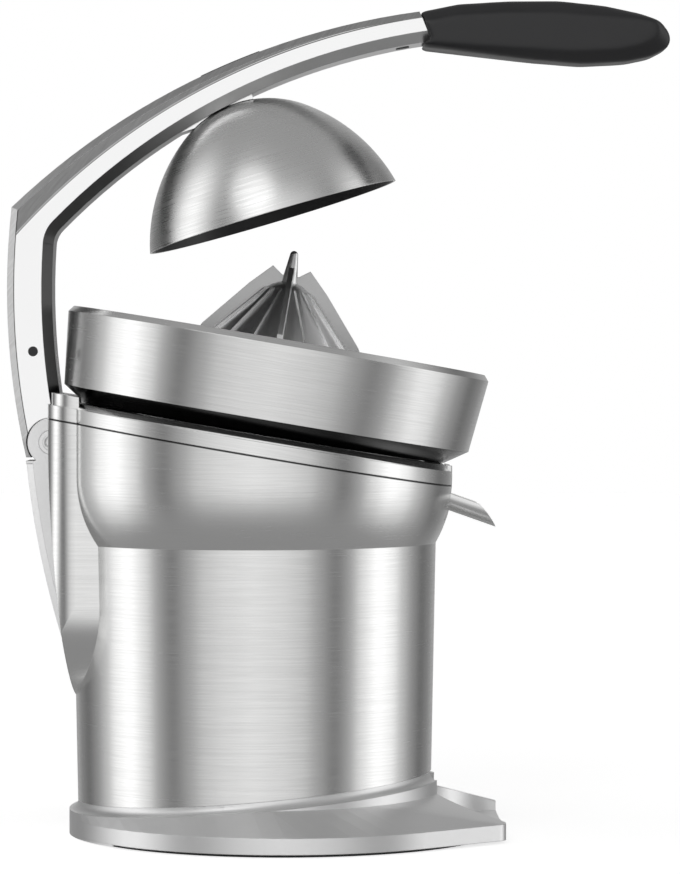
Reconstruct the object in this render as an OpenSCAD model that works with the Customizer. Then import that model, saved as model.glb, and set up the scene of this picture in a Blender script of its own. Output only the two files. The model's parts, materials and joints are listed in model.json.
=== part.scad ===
// Lever citrus juice press: a motor turns the reamer and a lever arm presses a dome down over it.
// Millimetres. +X is the spout side, +Z is up, and the origin is on the body's axis at table level.
// The deck, bowl and reamer lean forward together, on one tilted axis.

/* [Body] */
// Radius of the body at its waist, under the flare
body_r = 97.5; // [94:0.5:102]
// How much narrower the body is at its foot
body_draft = 3; // [0:0.5:5]
// How far the flared top stands out from the waist
flare_w = 9.5; // [8.5:0.5:12]
// Height of the waist, where the flare starts
flare_z = 155.5; // [140:0.5:165]
// Height of the flare's curve
flare_h = 36; // [28:0.5:40]
// Height of the deck plane on the body's axis
deck_z = 211.7; // [205:0.1:225]
// Forward lean of the deck, bowl and reamer, in degrees
deck_tilt = 9.6; // [6:0.1:12]
// Distance from the body's axis to the reamer's axis, at the deck plane
deck_x = 4.6; // [3:0.1:6]
// Wall of the housing shell
shell_t = 2; // [1.5:0.1:3]
// Height of the trim ring
ring_h = 7.6; // [6:0.1:9]
// Height of the trim ring's sloped top
ring_bevel_h = 3; // [2:0.1:3.2]

/* [Spine] */
// How far the spine at the back stands out from the waist
spine_reach = 10.9; // [10:0.1:13]
// Half the width of the spine
spine_half_w = 54; // [48:0.5:58]
// Radius of the spine's upright rear corners
spine_corner_r = 15; // [10:0.5:18]
// Radius of the bow in the spine's rear line
spine_bow_r = 900; // [700:10:1200]
// Height of the spine's lowest point
spine_foot_z = 74; // [70:0.5:78]
// Radius of the spine's lower corners
spine_foot_r = 50; // [40:0.5:52]
// Width of the channel that the arm moves in
chan_w = 36; // [35:0.5:40]

/* [Base] */
// Radius of the base casting in plan
base_r = 116; // [112:0.5:122]
// How far the base stands forward of the body's axis
base_shift = 17; // [14:0.5:20]
// Height of the upright band round the base
band_h = 10; // [8:0.5:12]
// Height of the seam between body and base, on the body's axis
base_seam_z = 25.8; // [24:0.1:30]
// Forward rise of that seam, in degrees
base_tilt = 4.7; // [3:0.1:6]
// How far the toes reach forward of the body's axis
toe_reach = 132.5; // [128:0.5:140]
// Half the width over the toes
toe_half_w = 62; // [58:0.5:70]
// Radius of the toes' corners
toe_r = 9; // [6:0.5:12]
// Radius of the scoop where the glass stands
glass_r = 48; // [40:0.5:52]
// Distance from the body's axis to the middle of the scoop
glass_x = 141; // [138:0.5:146]
// Wall of the base casting
base_t = 3.5; // [3:0.1:5]
// Height of the rubber feet under the casting
foot_h = 1.6; // [1:0.1:2.5]

/* [Bowl] */
// Radius of the bowl's wall at its rim
bowl_rim_r = 114.3; // [112:0.1:118]
// Radius of the bowl's wall at its foot
bowl_foot_r = 110; // [108:0.1:112]
// Height of the bowl's rim over the deck plane
bowl_top_z = 53.6; // [50:0.1:58]
// Height of the bowl's foot corner over the deck plane
bowl_foot_z = 11.6; // [11:0.1:14]
// Steel of the bowl
bowl_t = 1.5; // [1.2:0.1:1.8]
// Outer radius of the bowl's sump, inside the housing
sump_r = 88; // [84:0.5:88.5]
// Depth of the sump's floor under the deck plane
sump_drop = 14.5; // [13:0.5:16]

/* [Spout] */
// Width of the spout's trough
spout_w = 36; // [32:0.5:38]
// Length of the trough's straight side walls
spout_side = 30.5; // [28:0.5:33]
// Length of the trough's floor, out to the lip
spout_len = 43.3; // [40:0.1:46]
// Height of the trough's side walls
spout_h = 8.8; // [7:0.1:10]
// Radius of the curve that cuts the lip
spout_nose_r = 47; // [40:1:60]
// Depth of the trough's start under the deck plane
spout_drop = 18; // [17.5:0.1:20]
// Fall of the trough, measured from the deck, in degrees
spout_fall = 9.9; // [6:0.1:12]

/* [Reamer] */
// Height of the reamer's tip over the bowl's rim
tip_rise = 48.9; // [44:0.1:52]
// Height of the reamer from its skirt to its tip
cone_h = 80; // [74:0.5:82]
// Half angle of the reamer's flanks, in degrees
cone_half_a = 43.5; // [40:0.5:46]
// Radius of the reamer's crown
crown_r = 17; // [14:0.5:20]
// Depth of the crown's top under the tip
crown_drop = 17; // [15:0.5:20]
// Radius of the reamer's skirt
skirt_r = 47; // [44:0.5:50]
// Wall of the reamer
cone_t = 3.5; // [3:0.1:4.5]
// Thickness of a fin
fin_t = 3; // [2:0.1:4]
// Thickness of a rib between the fins
rib_t = 2.4; // [1.6:0.1:3]
// How far a rib stands out from the flank
rib_h = 2; // [1:0.1:2.5]
// How far the reamer sinks to start the motor
press_travel = 2; // [1:0.1:2.5]

/* [Lever] */
// Width of the arm
arm_w = 34; // [30:0.5:34]
// Depth of the link pivot inside the waist
pivot_inset = 7; // [6.5:0.1:7.5]
// Height of the link pivot
pivot_z = 98; // [94:0.5:102]
// Length of the lower link between its pins
link_len = 112.8; // [108:0.1:116]
// Rearward lean of the lower link, in degrees
link_lean = 9.1; // [8.5:0.1:9.5]
// Swing of the lower link over the press stroke, in degrees
link_swing = 20.6; // [19:0.1:21]
// Turn of the arm over the press stroke, in degrees
arm_turn = 25.2; // [24:0.1:26]
// Radius of the link's ears round the knee pin
ear_r = 12.4; // [11:0.1:12.6]
// Thickness of one ear
ear_t = 8; // [6:0.5:9]
// Radius of the knee pin and the other lever pins
pin_r = 2.6; // [2:0.1:3]
// Height of the arm's elbow over the knee
elbow_rise = 125.4; // [120:0.1:130]
// How far the elbow stands behind the knee
elbow_back = 21; // [20:0.1:22]
// Radius of the leg's rear edge
leg_bow_r = 398.2; // [360:1:440]
// Depth of the leg from rear edge to front edge
leg_depth = 24; // [22:0.1:24.4]
// Radius of the arm's upper edge
arm_bow_r = 389.5; // [370:0.5:410]
// Depth of the arm at its elbow
arm_depth = 26; // [24:0.1:28]
// How far the centre of the lower edge lies above that of the upper edge
arm_taper = 30; // [26:0.1:32]
// Width of the bevel along the outer edge
outer_bevel = 3.6; // [2:0.1:5]
// Depth of the bevel along the inner edge
inner_bevel = 5.5; // [3:0.1:6]
// Width of the bevel along the inner edge, across the arm
inner_bevel_w = 4; // [3:0.1:5]
// Radius inside the elbow
elbow_fillet_r = 13; // [10:0.5:18]
// Length of the hand grip along the arm
grip_len = 133; // [120:1:140]
// Greatest depth of the hand grip
grip_depth = 32.5; // [28:0.5:35]
// Width of the hand grip
grip_w = 38; // [36:0.5:42]

/* [Dome] */
// Radius of the dome's rim
dome_r = 68.8; // [66:0.1:72]
// Radius of the dome's side curve
dome_side_r = 93; // [90:1:110]
// Radius of the dome's crown
dome_crown_r = 57; // [52:0.5:60]
// Where the crown meets the side curve, in degrees from the dome's axis
dome_split = 37; // [32:0.5:42]
// Steel of the dome
dome_t = 1.2; // [1:0.1:1.5]
// Plastic of the dome's liner
liner_t = 1.6; // [1.2:0.1:1.8]
// Rise of the dome towards the front while the arm is up, in degrees
dome_tilt = 16.6; // [14:0.1:18]
// Depth of the dome's rim under the bowl's rim when pressed
dome_sink = 9; // [7:0.1:9.5]
// Width of the saddle that holds the dome
saddle_w = 20; // [16:0.5:24]

/* [Drive] */
// Module of the two gears
gear_m = 1.25; // [1.2:0.05:1.3]
// Teeth of the drive gear
gear_n = 60; // [56:4:64]
// Teeth of the pinion
pinion_n = 12; // [12:1:14]
// Thickness of the drive gear
gear_h = 8; // [6:0.5:9]
// Radius of the drive hub
hub_r = 6.5; // [6:0.1:6.8]
// Radius of the spindle
spindle_r = 3.5; // [3:0.1:3.8]
// Radius of the motor can
motor_r = 32; // [28:0.5:34]
// Length of the motor can
motor_h = 64; // [55:0.5:70]

/* [Hidden] */
$fn = 96;
// Sides of the long arcs and of small round parts
long_fn = 720;
small_fn = 48;
facet_fn = 64;

steel = "silver";
cast_metal = "lightgray";
dark_plastic = "#202224";
rubber = "#262626";
brass = "#b08d4a";

// Overrun of every cut, running gap between parts, and a plain size past the whole body
over = 1;
gap = 0.3;
reach = 4 * body_r;

rim_r = body_r + flare_w;
flare_arc_r = (flare_w * flare_w + flare_h * flare_h) / (2 * flare_w);
top_z = flare_z + flare_h;
spine_x = body_r + spine_reach;
axis_z = deck_z - deck_x * tan(deck_tilt);
seam_groove = 0.5;

// The lever's pins as places in the XZ plane
link_pivot = [-(body_r - pivot_inset), pivot_z];
knee = link_pivot + link_len * [-sin(link_lean), cos(link_lean)];
// Places of the guide link's two pins, measured from the knee
guide_low_x = 5.1;
guide_low_z = 15.2;
guide_high_x = 9.4;
guide_high_z = 48.5;
guide_pivot = knee + [guide_low_x, guide_low_z];
guide_end = knee + [-guide_high_x, guide_high_z];
// The guide link's slot lets the open pivot drift while the lever moves
guide_drift = 2;
guide_t = 5;
guide_eye = pin_r + guide_drift + 2.4 * pin_r / 2.6;
link_boss_r = 5.5;
link_tail = 11;
chan_gap = 0.8;
chan_out = spine_x + spine_reach;
chan_foot = link_tail + 3.6 * chan_gap;

// The arm's four arcs, placed from the elbow
elbow = knee + [-elbow_back, elbow_rise];
elbow_a = 133.7;
leg_a = 173.6;
grip_a = 97.6;
arm_c = elbow - arm_bow_r * [cos(elbow_a), sin(elbow_a)];
arm_in_c = arm_c + [arm_taper * 0.093, arm_taper];
arm_in_r = arm_bow_r - arm_depth - arm_taper * (sin(elbow_a) + 0.093 * cos(elbow_a));
leg_c = elbow - leg_bow_r * [cos(leg_a), sin(leg_a)];
leg_in_r = leg_bow_r - leg_depth;

// Heights in the deck frame, from the deck plane
tip_z = bowl_top_z + tip_rise;
skirt_z = tip_z - cone_h;
sump_floor = -sump_drop;
deck_t = 2.5;
deck_under = sump_floor - deck_t;
chimney_r = 11.5;
chimney_t = 1.4;
chimney_top = 18;
tube_r = hub_r + 2;
tube_t = 2;
tube_top = 8;
post_h = 5;
cover_t = 2.5;
cover_top = deck_under - post_h;
gear_z = cover_top - cover_t - gear_h - 2 * gap - 1.2 * gear_m;
case_t = 2.5;
case_floor = gear_z - 3 * gear_m;
case_under = case_floor - case_t;
gear_r = gear_m * gear_n / 2;
pinion_r = gear_m * pinion_n / 2;
gear_gap = gear_r + pinion_r;
case_r = gear_r + 2.4 * gear_m + case_t;
pinion_case_r = pinion_r + 2.4 * gear_m + case_t;
plate_t = 2.5;
motor_top = case_under - plate_t;
shaft_r = 2.5;
bearing_h = 5;
bearing_r = hub_r + 4.5;
spindle_low = case_under - 4;
hub_top = 12;

// Moves children from the deck frame, which leans forward, to the part's frame
module deck_frame() {
  translate([deck_x, 0, axis_z]) rotate([0, deck_tilt, 0]) children();
}

// Draws an outline given in X and Z, with its thickness across Y
module xz(w) {
  rotate([90, 0, 0]) linear_extrude(height = w, center = true) children();
}

// Draws an outline given in Y and Z, from x0 on along +X
module yz(x0, len) {
  translate([x0, 0, 0]) rotate([90, 0, 90]) linear_extrude(height = len) children();
}

module rounded_rect(w, h, r) {
  translate([r, 0]) square([w - 2 * r, h]);
  translate([0, r]) square([w, h - 2 * r]);
  for (x = [r, w - r]) for (y = [r, h - r]) translate([x, y]) circle(r = r);
}

module ring(outer, inner, h) {
  difference() {
    cylinder(r = outer, h = h);
    translate([0, 0, -over]) cylinder(r = inner, h = h + 2 * over);
  }
}

// A pin across Y at a place in the XZ plane
module cross_pin(at, r, len) {
  translate([at[0], 0, at[1]]) rotate([90, 0, 0]) cylinder(r = r, h = len, center = true, $fn = small_fn);
}

// Everything between two heights of the deck frame
module deck_slab(low, high) {
  deck_frame() translate([-reach, -reach, low]) cube([2 * reach, 2 * reach, high - low]);
}

// Everything above the seam between body and base
module over_base_seam() {
  translate([0, 0, base_seam_z]) rotate([0, -base_tilt, 0])
    translate([-reach, -reach, 0]) cube([2 * reach, 2 * reach, 2 * reach]);
}

// A tube along points, closed by two fans: used for the springs
module wire(path, r, sides) {
  n = len(path);
  function along(i) = let (d = path[min(i + 1, n - 1)] - path[max(i - 1, 0)]) d / norm(d);
  function side(t) = let (s = cross(t, abs(t[2]) < 0.9 ? [0, 0, 1] : [1, 0, 0])) s / norm(s);
  points = [for (i = [0:n - 1]) let (t = along(i), a = side(t), b = cross(t, a))
    for (k = [0:sides - 1]) path[i] + r * (cos(360 * k / sides) * a + sin(360 * k / sides) * b)];
  skin = [for (i = [0:n - 2]) for (k = [0:sides - 1])
    let (k1 = (k + 1) % sides, a = i * sides) each [[a + k, a + k1, a + sides + k],
      [a + k1, a + sides + k1, a + sides + k]]];
  caps = [[for (k = [sides - 1:-1:0]) k], [for (k = [0:sides - 1]) (n - 1) * sides + k]];
  polyhedron(points = points, faces = concat([for (f = skin) [f[0], f[2], f[1]]],
    [for (c = caps) [for (k = [sides - 1:-1:0]) c[k]]]));
}

// Half outline of the body, drawn inwards by the inset
module body_profile(inset) {
  lean = body_draft / flare_z;
  polygon([[0, 0], [body_r - body_draft - inset, 0], [body_r + lean * over - inset, flare_z + over],
    [0, flare_z + over]]);
  intersection() {
    translate([rim_r - flare_arc_r, top_z]) circle(r = flare_arc_r - inset, $fn = long_fn);
    translate([0, flare_z - over]) square([rim_r, flare_h + over]);
  }
  translate([0, top_z]) square([rim_r - inset, deck_z]);
}

module spine_form(inset) {
  intersection() {
    translate([-spine_x + inset, -spine_half_w + inset, 0]) linear_extrude(height = 2 * deck_z)
      rounded_rect(spine_x, 2 * (spine_half_w - inset), spine_corner_r - inset);
    xz(reach) translate([-spine_x + spine_bow_r, deck_z + spine_corner_r])
      circle(r = spine_bow_r - inset, $fn = long_fn);
    yz(-reach, reach) translate([-spine_half_w + inset, spine_foot_z + inset])
      rounded_rect(2 * (spine_half_w - inset), 2 * deck_z, spine_foot_r);
  }
}

module body_form(inset) {
  rotate_extrude() body_profile(inset);
  spine_form(inset);
}

// The channel in the spine, grown by its wall where the wall is wanted
module channel(grow) {
  xz(chan_w + 2 * grow) polygon([
    [-chan_out - grow, 2 * deck_z],
    [knee[0] + ear_r + chan_gap + grow, 2 * deck_z],
    [knee[0] + ear_r + chan_gap + grow, knee[1]],
    [link_pivot[0] + link_boss_r + chan_gap + grow, link_pivot[1]],
    [link_pivot[0] + link_boss_r + chan_gap + grow, link_pivot[1] - chan_foot - grow],
    [-chan_out - grow, link_pivot[1] - chan_foot - grow]]);
}

notch_w = spout_w + 6;
notch_foot = spout_drop + 8;

// The open notch at the front, which the spout's plate closes
module notch(w, foot) {
  deck_frame() translate([sump_r, -w / 2, -foot]) cube([reach, w, reach]);
}

module housing_shell() {
  color(steel) difference() {
    intersection() {
      difference() {
        body_form(0);
        difference() {
          body_form(shell_t);
          channel(shell_t);
        }
      }
      over_base_seam();
      deck_slab(-reach, -ring_h);
    }
    channel(0);
    notch(notch_w, notch_foot);
    cross_pin(link_pivot, pin_r, pin_len);
    cross_pin(guide_pivot, guide_pin_r, guide_pin_len);
  }
}

// The slope on top of the ring follows the ring's oval, so its cone stands on the body's axis
module ring_form() {
  difference() {
    union() {
      intersection() {
        body_form(0);
        deck_slab(-ring_h + seam_groove, 0);
      }
      intersection() {
        body_form(seam_groove);
        deck_slab(-ring_h, -ring_h + seam_groove + over);
      }
      intersection() {
        body_form(seam_groove);
        deck_slab(-over, ring_bevel_h);
        deck_frame() translate([-deck_x, 0, 0])
          cylinder(r1 = rim_r + seam_groove, r2 = rim_r - ring_bevel_h, h = ring_bevel_h);
      }
      spine_crest();
    }
    deck_frame() translate([0, 0, -2 * ring_h]) cylinder(r = ring_bore_r, h = reach);
  }
}

ring_bore_r = bowl_foot_r - 11.5;
crest_h = 6.3;

// Raised crest over the spine, hollowed to clear the bowl's foot
module spine_crest() {
  difference() {
    intersection() {
      spine_form(crest_h / 3);
      deck_slab(-over, crest_h);
      translate([-reach - body_r + crest_h, -reach, 0]) cube([reach, 2 * reach, reach]);
    }
    deck_frame() cylinder(r1 = bowl_foot_r - bowl_foot_z, r2 = bowl_foot_r + over, h = bowl_foot_z);
    deck_frame() translate([-rim_r - crest_h, 0, crest_h]) rotate([0, -35, 0])
      translate([-reach, -reach, 0]) cube([reach, 2 * reach, crest_h]);
  }
}

module trim_ring() {
  color(steel) difference() {
    ring_form();
    channel(0);
    notch(notch_w, notch_foot);
    cross_pin(guide_pivot, guide_pin_r, guide_pin_len);
  }
}

deck_bore = sump_r + 2;
deck_rim_z = 3;

module top_deck() {
  color(dark_plastic) difference() {
    union() {
      intersection() {
        body_form(shell_t + gap);
        deck_slab(-ring_h - deck_t, -ring_h);
      }
      deck_frame() translate([0, 0, -ring_h - deck_t])
        cylinder(r = ring_bore_r - gap, h = ring_h + deck_t + deck_rim_z);
      deck_frame() translate([0, 0, deck_under])
        cylinder(r = deck_bore + deck_t, h = -deck_under - ring_h);
    }
    deck_frame() difference() {
      translate([0, 0, sump_floor]) cylinder(r = deck_bore, h = reach);
      translate([0, 0, sump_floor - over]) cylinder(r = tube_r + tube_t, h = tube_top - sump_floor + over);
    }
    deck_frame() translate([0, 0, deck_under - over]) cylinder(r = tube_r, h = reach, $fn = small_fn);
    channel(shell_t + gap);
    deck_frame() lug_places() translate([0, 0, deck_under - over]) cylinder(r = screw_r * 0.8, h = deck_t / 2 + over, $fn = small_fn);
    // Way out for the spout
    deck_frame() translate([sump_r - over, -spout_w / 2 - over, deck_under - over])
      cube([reach, spout_w + 2 * over, reach]);
  }
}

collar_h = 12;
// Direction in which the flanks touch both the round and the toes
toe_d = [toe_reach - toe_r - base_shift, toe_half_w - toe_r];
flank_a = atan2(toe_d[1], toe_d[0]) + acos((base_r - toe_r) / norm(toe_d));

// Slope between the band and the body, with the toes at the front
module base_form() {
  hull() {
    translate([base_shift, 0, band_h - gap]) cylinder(r = base_r, h = gap, $fn = facet_fn);
    for (s = [-1, 1]) translate([toe_reach - toe_r, s * (toe_half_w - toe_r), band_h - gap])
      cylinder(r = toe_r, h = gap, $fn = 32);
    intersection() {
      translate([0, 0, band_h]) cylinder(r = body_r - body_draft + lip_w, h = collar_h, $fn = facet_fn);
      translate([0, 0, base_seam_z - collar_drop]) rotate([0, -base_tilt, 0])
        translate([-reach, -reach, -reach]) cube([2 * reach, 2 * reach, reach]);
    }
  }
}

lip_w = 5;
collar_drop = 4.6;
fillet_r = 5;

module toe_plan() {
  translate([base_shift, 0]) circle(r = base_r);
  for (s = [-1, 1]) translate([toe_reach - toe_r, s * (toe_half_w - toe_r)]) circle(r = toe_r);
  // Straight flanks from the round to the toes, and the straight front
  for (s = [-1, 1]) polygon([[base_shift, 0], [base_shift + base_r * cos(flank_a), s * base_r * sin(flank_a)],
    [toe_reach - toe_r + toe_r * cos(flank_a), s * (toe_half_w - toe_r + toe_r * sin(flank_a))],
    [toe_reach, s * (toe_half_w - toe_r)], [toe_reach, 0]]);
}

// Collar that carries the body, with a hollow fillet down to the slope
module base_collar() {
  intersection() {
    rotate_extrude() difference() {
      square([body_r - body_draft + fillet_r, base_seam_z + collar_h]);
      translate([body_r - body_draft + fillet_r, base_seam_z + collar_h - over])
        square([over, over]);
    }
    translate([0, 0, base_seam_z]) rotate([0, -base_tilt, 0])
      translate([-reach, -reach, -reach]) cube([2 * reach, 2 * reach, reach]);
    translate([0, 0, base_seam_z - collar_drop]) rotate([0, -base_tilt, 0]) union() {
      translate([0, 0, -reach]) cylinder(r = reach, h = reach);
      rotate_extrude() difference() {
        square([body_r - body_draft + fillet_r, collar_drop]);
        translate([body_r - body_draft + fillet_r, collar_drop]) circle(r = fillet_r - over / 5);
      }
    }
  }
}

glass_floor = 5;
hollow_z = glass_floor - base_t / 2;
base_bore_r = body_r - body_draft - 2 * base_t;
pad_z = 14;
pad_len = 26;
pad_half_w = 34;
pad_grip = 0.8;

module base_casting() {
  color(cast_metal) difference() {
    union() {
      difference() {
        union() {
          translate([0, 0, foot_h]) linear_extrude(height = band_h - foot_h) toe_plan();
          base_form();
          base_collar();
        }
        translate([glass_x, 0, glass_floor]) cylinder(r = glass_r, h = reach);
        translate([glass_x, -glass_r, glass_floor]) cube([reach, 2 * glass_r, reach]);
        // Hollow underside
        translate([base_shift, 0, -over]) cylinder(r = base_r - base_t, h = hollow_z + over);
        translate([0, 0, -over]) cylinder(r = base_bore_r, h = reach);
      }
      base_bosses();
      // Pad that the arm's frame stands on
      translate([-base_bore_r - pad_grip, -pad_half_w, pad_z - 2 * base_t])
        cube([pad_len + pad_grip, 2 * pad_half_w, 2 * base_t]);
    }
    for (a = base_screw_angles) rotate([0, 0, a]) translate([base_screw_r, 0, -over])
      cylinder(r = screw_r, h = base_screw_top + over, $fn = small_fn);
    for (s = [-1, 1]) translate([frame_screw_x, s * frame_screw_y, pad_z - 1.5 * base_t])
      cylinder(r = screw_r, h = reach, $fn = small_fn);
    gland_place() translate([0, 0, -reach / 4]) cylinder(r = gland_r, h = reach / 2, $fn = small_fn);
  }
}

base_screw_angles = [45, 135, 225, 315];
base_screw_r = base_bore_r - 4;
base_screw_top = band_h + foot_h + gap;
screw_r = 2;
screw_head_r = 3.6;
screw_head_h = 1.1;
gland_r = 2.8;
gland_z = 6.4;
gland_a = 155;

// Screw bosses that grow from the inside of the casting's wall
module base_bosses() {
  for (a = base_screw_angles) rotate([0, 0, a])
    translate([base_screw_r - screw_head_r, -screw_head_r, hollow_z])
      cube([screw_head_r + base_bore_r - base_screw_r + over, 2 * screw_head_r, band_h]);
}

module gland_place() {
  translate([base_shift, 0, gland_z]) rotate([0, 0, gland_a]) translate([base_r, 0, 0])
    rotate([0, 90, 0]) children();
}

module cord_gland() {
  color(rubber) gland_place() difference() {
    union() {
      translate([0, 0, -2 * base_t]) cylinder(r = gland_r, h = 2 * base_t + gland_lip, $fn = small_fn);
      cylinder(r = gland_r + gland_lip, h = gland_lip, $fn = small_fn);
    }
    translate([0, 0, -base_t]) cylinder(r = gland_r * 0.6, h = 3 * base_t, $fn = small_fn);
  }
}

gland_lip = 0.9;

module base_plate() {
  color(dark_plastic) difference() {
    translate([base_shift, 0, foot_h]) cylinder(r = base_r - base_t - gap, h = hollow_z - foot_h);
    for (a = base_screw_angles) rotate([0, 0, a]) translate([base_screw_r, 0, 0])
      cylinder(r = screw_r + gap, h = reach, $fn = small_fn);
  }
}

foot_ring_w = 12;

// One ring under the casting, so the press stands on a flat annulus
module foot_ring() {
  color(rubber) translate([base_shift, 0, 0]) ring(base_r - base_t - gap, base_r - base_t - foot_ring_w, foot_h);
}

module base_screws() {
  color(steel) for (a = base_screw_angles) rotate([0, 0, a]) translate([base_screw_r, 0, 0]) {
    translate([0, 0, foot_h - screw_head_h]) cylinder(r = screw_head_r, h = screw_head_h, $fn = small_fn);
    translate([0, 0, foot_h - screw_head_h / 2]) cylinder(r = screw_r, h = band_h, $fn = small_fn);
  }
}

// Frame inside the spine: two cheeks beside the channel, tied in front of it, on two feet
cheek_t = 5;
cheek_y = chan_w / 2 + shell_t + gap;
pin_len = 2 * (cheek_y + cheek_t);
frame_front = link_pivot[0] + link_boss_r + chan_gap + shell_t + gap + cheek_t;
frame_back = frame_front - cheek_t;
frame_screw_x = frame_front + cheek_t;
frame_screw_y = cheek_y + 1.6 * cheek_t;
frame_top = pivot_z + 4 * cheek_t;

module arm_frame() {
  color(cast_metal) difference() {
    union() {
      for (s = [-1, 1]) translate([0, s * (cheek_y + cheek_t / 2), 0]) xz(cheek_t) cheek_outline();
      translate([frame_front - cheek_t, -cheek_y - over, pad_z])
        cube([cheek_t, 2 * (cheek_y + over), frame_top - pad_z - cheek_t]);
      for (s = [-1, 1]) translate([frame_front - 0.4 * cheek_t, s * frame_screw_y - 1.5 * cheek_t, pad_z])
        cube([2.4 * cheek_t, 3 * cheek_t, cheek_t]);
    }
    cross_pin(link_pivot, pin_r, reach);
    for (s = [-1, 1]) translate([frame_screw_x, s * frame_screw_y, 0])
      cylinder(r = screw_r, h = pad_z + 2 * cheek_t, $fn = small_fn);
  }
}

module cheek_outline() {
  polygon([
    [frame_front, pad_z + over], [frame_front, frame_top], [frame_back, frame_top],
    [link_pivot[0] - 1.8 * pin_r, pivot_z + 3 * pin_r], [link_pivot[0] - 1.8 * pin_r, pivot_z - 3 * pin_r],
    [frame_back, pivot_z - 3.6 * cheek_t], [frame_back, pad_z + over]]);
}

module frame_screws() {
  color(steel) for (s = [-1, 1]) translate([frame_screw_x, s * frame_screw_y, 0]) {
    translate([0, 0, pad_z + cheek_t]) cylinder(r = screw_head_r, h = 2 * screw_head_h, $fn = small_fn);
    translate([0, 0, pad_z - 1.5 * base_t]) cylinder(r = screw_r, h = 1.5 * base_t + cheek_t + screw_head_h, $fn = small_fn);
  }
}

module link_pin() {
  color(steel) cross_pin(link_pivot, pin_r, pin_len);
}

// The guide link turns on this pin, which the thick back of the trim ring holds
module guide_pivot_pin() {
  color(steel) cross_pin(guide_pivot, guide_pin_r, guide_pin_len);
}

guide_pin_r = 1.8;
guide_pin_len = chan_w + 2 * cheek_t;

spring_wire = 0.9;
spring_r = link_boss_r - 1.2 * spring_wire;
spring_turns = 5;
spring_half_w = 7;
spring_room = spring_half_w + spring_wire + gap;

// Torsion spring round the link pin, with one leg up the link and one against the channel
module return_spring() {
  turns = 360 * spring_turns - 90 + link_lean;
  steps = 14 * spring_turns;
  at = function(a, r) [link_pivot[0] + r * cos(a), link_pivot[1] + r * sin(a)];
  low = [link_pivot[0] + link_boss_r, -spring_half_w, link_pivot[1] + spring_r];
  coil = [for (i = [0:steps]) let (a = 90 + turns * i / steps, p = at(a, spring_r))
    [p[0], spring_half_w * (2 * i / steps - 1), p[1]]];
  leg = sqrt(pow(link_boss_r + chan_gap - gap, 2) - pow(spring_r + spring_wire, 2));
  high = at(link_lean, spring_r) + leg * [-sin(link_lean), cos(link_lean)];
  color(steel) wire(concat([low], coil, [[high[0], spring_half_w, high[1]]]), spring_wire, 8);
}

module lower_link() {
  color(cast_metal) difference() {
    link_form();
    bevel_ring(link_bow_c, link_bow_r, outer_bevel, outer_bevel, 1, angle_of(shoulder - link_bow_c) + 0.2, 60);
    // Room between the ears for the arm's tongue
    translate([knee[0], 0, knee[1]]) rotate([90, 0, 0])
      cylinder(r = ear_r + chan_gap, h = arm_w - 2 * ear_t, center = true);
    translate([knee[0] - reach / 2, -arm_w / 2 + ear_t, knee[1]]) cube([reach, arm_w - 2 * ear_t, reach]);
    // Room for the return spring, open to the front where its lower leg comes out
    translate([link_pivot[0], 0, link_pivot[1]]) rotate([90, 0, 0])
      cylinder(r = link_boss_r + chan_gap, h = 2 * spring_room, center = true);
    translate([link_pivot[0], -spring_room, link_pivot[1]])
      cube([link_boss_r + chan_gap, 2 * spring_room, spring_r + spring_wire + gap]);
    cross_pin(link_pivot, pin_r + pin_play, reach);
    cross_pin(knee, pin_r + pin_play, reach);
    for (s = [-1, 1]) translate([knee[0], s * (arm_w / 2 - washer_t / 2 + over / 2), knee[1]]) rotate([90, 0, 0])
      cylinder(r = washer_r + pin_play, h = washer_t + over, center = true);
  }
}

pin_play = 0.05;
washer_r = 6.4;
washer_t = 1.2;
link_bow_r = 491.5;
link_tail_w = 5;
shoulder_drop = 9.8;
shoulder = knee + [-ear_r - 0.9, -shoulder_drop];
tail = link_pivot + [-link_boss_r - 1, -link_tail];

// Round ears at the top, a bowed rear edge, and a boss and a tail at the bottom
module link_form() {
  translate([knee[0], 0, knee[1]]) rotate([90, 0, 0]) cylinder(r = ear_r, h = arm_w, center = true);
  intersection() {
    union() {
      xz(arm_w) polygon([shoulder + [link_tail_w, 0], knee + ear_r * [-0.4, -0.5], knee + ear_r * [0.9, -0.35],
        link_pivot + link_boss_r * [0.9, 0.3], link_pivot + link_boss_r * [0.5, -0.75],
        tail + [link_tail_w, 0], tail - [reach, 0], shoulder - [reach, 0]]);
      translate([link_pivot[0], 0, link_pivot[1]]) rotate([90, 0, 0])
        cylinder(r = link_boss_r, h = arm_w, center = true, $fn = small_fn);
    }
    translate([link_bow_c[0], 0, link_bow_c[1]]) rotate([90, 0, 0])
      cylinder(r = link_bow_r, h = 2 * arm_w, center = true, $fn = long_fn);
  }
}

link_bow_c = bow_centre(shoulder, tail, link_bow_r);

// Centre of the arc of radius r through two points, on its +X side
function bow_centre(a, b, r) =
  let (m = (a + b) / 2, d = b - a, h = sqrt(r * r - d * d / 4))
  m + h * [-d[1], d[0]] / norm(d);

// Cuts a bevel, deep in the XZ plane and wide across Y, along an arc about c, from angle a0 on.
// way is 1 where the metal is inside the arc and -1 where it is outside
module bevel_ring(c, r, deep, wide, way, a0, span) {
  for (s = [-1, 1]) translate([c[0], 0, c[1]]) rotate([90, 0, 0]) scale([1, 1, s])
    rotate([0, 0, a0]) rotate_extrude(angle = span, $fn = long_fn) polygon([
      [r - way * deep, arm_w / 2], [r, arm_w / 2 - wide], [r + way * over, arm_w / 2 - wide],
      [r + way * over, arm_w / 2 + over], [r - way * deep, arm_w / 2 + over]]);
}

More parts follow.
